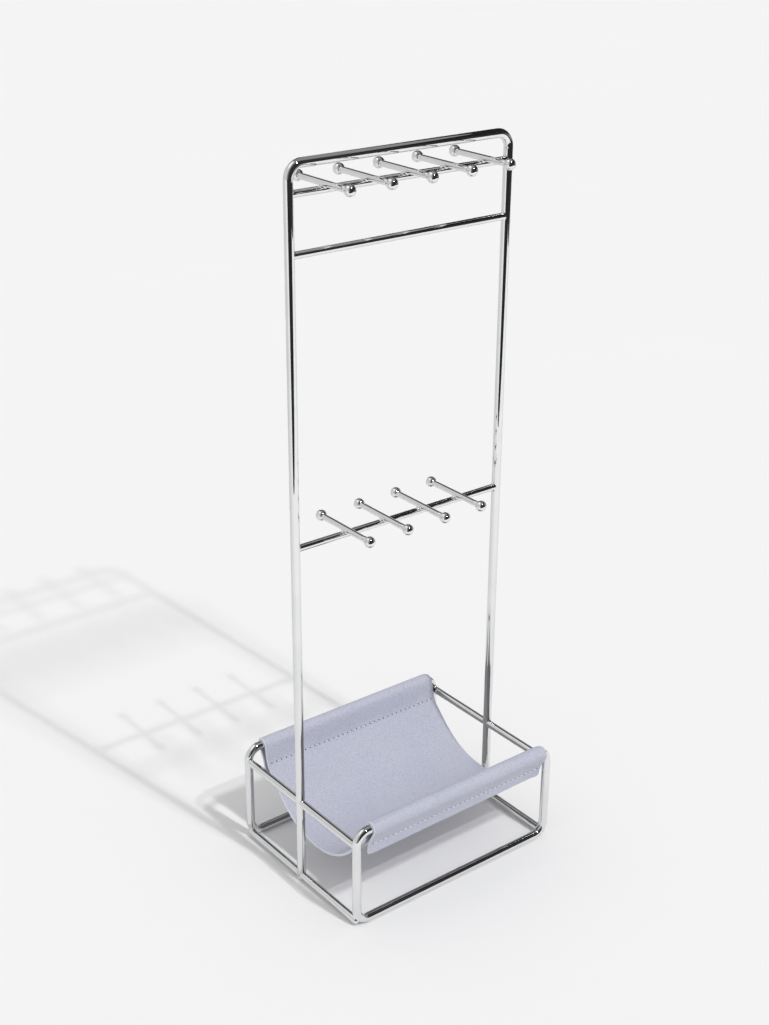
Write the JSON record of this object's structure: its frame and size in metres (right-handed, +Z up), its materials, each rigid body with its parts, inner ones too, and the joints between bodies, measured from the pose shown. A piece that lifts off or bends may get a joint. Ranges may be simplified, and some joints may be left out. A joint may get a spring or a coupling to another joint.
{
  "type": "jewellery stand",
  "caption": "Free-standing chrome wire stand with ball-ended pegs on a tall frame for necklaces and a sliding leather hammock tray in its low base.",
  "frame": {"origin": "on the table, under the middle of the base", "axes": "+X along the tall frame towards its right leg, +Y from the front hoop to the rear hoop, +Z up"},
  "size_m": [0.1296, 0.1032, 0.37],
  "materials": {
    "chrome": "bright polished plating, smooth, with faint draw lines along the wire",
    "leather": "matt fine-grained lilac-grey leather"
  },
  "bodies": {
    "frame": {"ball_mid_1_front": "chrome", "ball_mid_1_rear": "chrome", "ball_mid_2_front": "chrome", "ball_mid_2_rear": "chrome", "ball_mid_3_front": "chrome", "ball_mid_3_rear": "chrome", "ball_mid_4_front": "chrome", "ball_mid_4_rear": "chrome", "ball_top_1_front": "chrome", "ball_top_1_rear": "chrome", "ball_top_2_front": "chrome", "ball_top_2_rear": "chrome", "ball_top_3_front": "chrome", "ball_top_3_rear": "chrome", "ball_top_4_front": "chrome", "ball_top_4_rear": "chrome", "ball_top_5_front": "chrome", "ball_top_5_rear": "chrome", "base_front_hoop": "chrome", "base_rear_hoop": "chrome", "crossbar_mid": "chrome", "crossbar_plain": "chrome", "crossbar_top": "chrome", "peg_mid_1": "chrome", "peg_mid_2": "chrome", "peg_mid_3": "chrome", "peg_mid_4": "chrome", "peg_top_1": "chrome", "peg_top_2": "chrome", "peg_top_3": "chrome", "peg_top_4": "chrome", "peg_top_5": "chrome", "rail_left_lower_front": "chrome", "rail_left_lower_rear": "chrome", "rail_left_upper_front": "chrome", "rail_left_upper_rear": "chrome", "rail_right_lower_front": "chrome", "rail_right_lower_rear": "chrome", "rail_right_upper_front": "chrome", "rail_right_upper_rear": "chrome", "tall_hoop": "chrome"},
    "tray": {"sling": "leather"}
  },
  "joints": [
    {"name": "sling_slide", "type": "slide", "parent": "frame", "child": "tray", "axis": [1, 0, 0], "range_m": [-0.0055, 0]}
  ]
}
